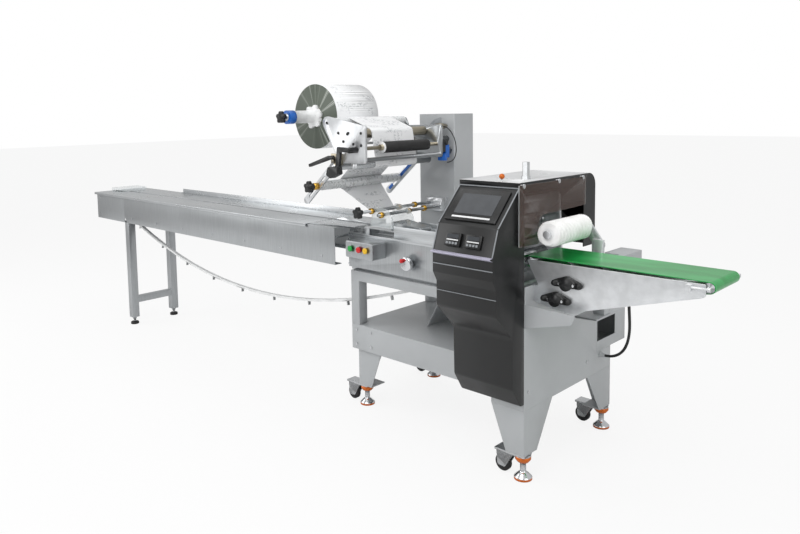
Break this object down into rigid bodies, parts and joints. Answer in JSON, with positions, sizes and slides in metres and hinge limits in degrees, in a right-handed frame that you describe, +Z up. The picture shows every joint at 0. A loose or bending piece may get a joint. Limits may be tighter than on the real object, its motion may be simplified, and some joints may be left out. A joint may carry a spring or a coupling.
{
  "type": "horizontal flow wrapper",
  "caption": "Horizontal flow wrapping machine with a long chain infeed, film reel, folding box, rotary end sealer and green outfeed belt on a grey base.",
  "frame": {"origin": "centre of the bounding box in plan, on the floor", "axes": "+X is the direction of product travel, from the infeed to the outfeed; -Y is the operator side; +Z is up"},
  "size_m": [3.9802, 0.979, 1.464],
  "materials": {
    "grey_paint": "light grey semi-gloss paint",
    "stainless": "brushed stainless sheet",
    "aluminium_plate": "clear anodised",
    "black_paint": "near-black semi-gloss paint",
    "black_plastic": "moulded black",
    "rubber_black": "matt black",
    "zinc": "zinc plated",
    "film": "white printed film",
    "smoked_pane": "smoky brown acrylic",
    "white_plastic": "white acetal",
    "green_belt": "smooth green belt",
    "green_button": "moulded",
    "red_button": "moulded",
    "yellow_button": "moulded"
  },
  "bodies": {
    "machine": {"base_frame": "grey_paint", "body_panels": "stainless", "button_box": "stainless", "chain_pulleys": "aluminium_plate", "control_cabinet": "black_paint", "dancer_arms": "aluminium_plate", "deck": "stainless", "drive_motor": "aluminium_plate", "film_channel": "stainless", "film_column": "grey_paint", "film_head_frame": "aluminium_plate", "film_web": "film", "flange_bearings": "black_plastic", "fold_carrier": "stainless", "folding_box": "stainless", "hood_window": "smoked_pane", "infeed_crossmembers": "stainless", "infeed_fence": "stainless", "infeed_side_panels": "stainless", "infeed_stand": "stainless", "infeed_tray": "stainless", "knobs_and_levers": "black_plastic", "legs": "grey_paint", "levelling_casters": "zinc", "lower_apron": "grey_paint", "operator_panel": "black_paint", "outfeed_belt": "green_belt", "outfeed_bracket": "grey_paint", "outfeed_cable": "rubber_black", "outfeed_drive_cover": "grey_paint", "outfeed_rollers": "aluminium_plate", "outfeed_side_plates": "aluminium_plate", "print_sensor": "aluminium_plate", "pusher_chain": "white_plastic", "rear_box": "grey_paint", "sealer_frame": "aluminium_plate", "sealer_hood": "black_paint", "sensor_cable": "rubber_black", "side_panel": "grey_paint", "stand_feet": "rubber_black"},
    "reel": {"film_reel": "film"},
    "idler_roller": {"idler_roller": "aluminium_plate"},
    "wrap_roller": {"wrap_roller": "aluminium_plate"},
    "rubber_roller": {"rubber_roller": "rubber_black"},
    "dancer_roller": {"dancer_roller": "aluminium_plate"},
    "handwheel": {"handwheel": "black_plastic"},
    "lower_jaw": {"lower_jaw": "zinc"},
    "upper_jaw": {"upper_jaw": "zinc"},
    "brush_arm": {"brush_arm": "stainless"},
    "brush_roller": {"brush_roller": "white_plastic"},
    "start_button": {"start_button": "green_button"},
    "stop_button": {"stop_button": "red_button"},
    "inch_button": {"inch_button": "yellow_button"},
    "wheel_front_left": {"caster_wheel_front_left": "rubber_black"},
    "wheel_rear_left": {"caster_wheel_rear_left": "rubber_black"},
    "wheel_front_right": {"caster_wheel_front_right": "rubber_black"},
    "wheel_rear_right": {"caster_wheel_rear_right": "rubber_black"}
  },
  "joints": [
    {"name": "reel_turn", "type": "hinge", "parent": "machine", "child": "reel", "pos_m": [0.23785, -0.11951, 1.318], "axis": [0, 1, 0], "continuous": true},
    {"name": "idler_turn", "type": "hinge", "parent": "machine", "child": "idler_roller", "pos_m": [0.44985, -0.11951, 1.292], "axis": [0, 1, 0], "continuous": true},
    {"name": "wrap_turn", "type": "hinge", "parent": "machine", "child": "wrap_roller", "pos_m": [0.57485, -0.11951, 1.246], "axis": [0, 1, 0], "continuous": true},
    {"name": "rubber_turn", "type": "hinge", "parent": "machine", "child": "rubber_roller", "pos_m": [0.64985, -0.11951, 1.187], "axis": [0, 1, 0], "continuous": true},
    {"name": "dancer_turn", "type": "hinge", "parent": "machine", "child": "dancer_roller", "pos_m": [0.40285, -0.11951, 1.022], "axis": [0, 1, 0], "continuous": true},
    {"name": "handwheel_turn", "type": "hinge", "parent": "machine", "child": "handwheel", "pos_m": [0.76085, -0.23951, 0.705], "axis": [0, 1, 0], "continuous": true},
    {"name": "lower_jaw_turn", "type": "hinge", "parent": "machine", "child": "lower_jaw", "pos_m": [1.24485, -0.11951, 0.766], "axis": [0, 1, 0], "continuous": true},
    {"name": "upper_jaw_turn", "type": "hinge", "parent": "machine", "child": "upper_jaw", "pos_m": [1.24485, -0.11951, 0.912], "axis": [0, 1, 0], "continuous": true},
    {"name": "brush_lift", "type": "hinge", "parent": "machine", "child": "brush_arm", "pos_m": [1.49785, 0.00849, 0.838], "axis": [0, 1, 0], "range_deg": [0, 45]},
    {"name": "brush_turn", "type": "hinge", "parent": "brush_arm", "child": "brush_roller", "pos_m": [1.44985, -0.11951, 0.908], "axis": [0, 1, 0], "continuous": true},
    {"name": "wheel_turn_front_left", "type": "hinge", "parent": "machine", "child": "wheel_front_left", "pos_m": [0.36285, -0.15651, 0.035], "axis": [0, 1, 0], "continuous": true},
    {"name": "wheel_turn_rear_left", "type": "hinge", "parent": "machine", "child": "wheel_rear_left", "pos_m": [0.36285, 0.31749, 0.035], "axis": [0, 1, 0], "continuous": true},
    {"name": "wheel_turn_front_right", "type": "hinge", "parent": "machine", "child": "wheel_front_right", "pos_m": [1.26585, -0.25751, 0.035], "axis": [0, 1, 0], "continuous": true},
    {"name": "wheel_turn_rear_right", "type": "hinge", "parent": "machine", "child": "wheel_rear_right", "pos_m": [1.26585, 0.33149, 0.035], "axis": [0, 1, 0], "continuous": true},
    {"name": "start_press", "type": "slide", "parent": "machine", "child": "start_button", "axis": [0, 1, 0], "range_m": [0, 0.004], "stiffness_N_per_m": 400},
    {"name": "stop_press", "type": "slide", "parent": "machine", "child": "stop_button", "axis": [0, 1, 0], "range_m": [0, 0.004], "stiffness_N_per_m": 400},
    {"name": "inch_press", "type": "slide", "parent": "machine", "child": "inch_button", "axis": [0, 1, 0], "range_m": [0, 0.004], "stiffness_N_per_m": 400}
  ],
  "couplings": [
    {"joint": "upper_jaw_turn", "follows": "lower_jaw_turn", "ratio": -1}
  ]
}
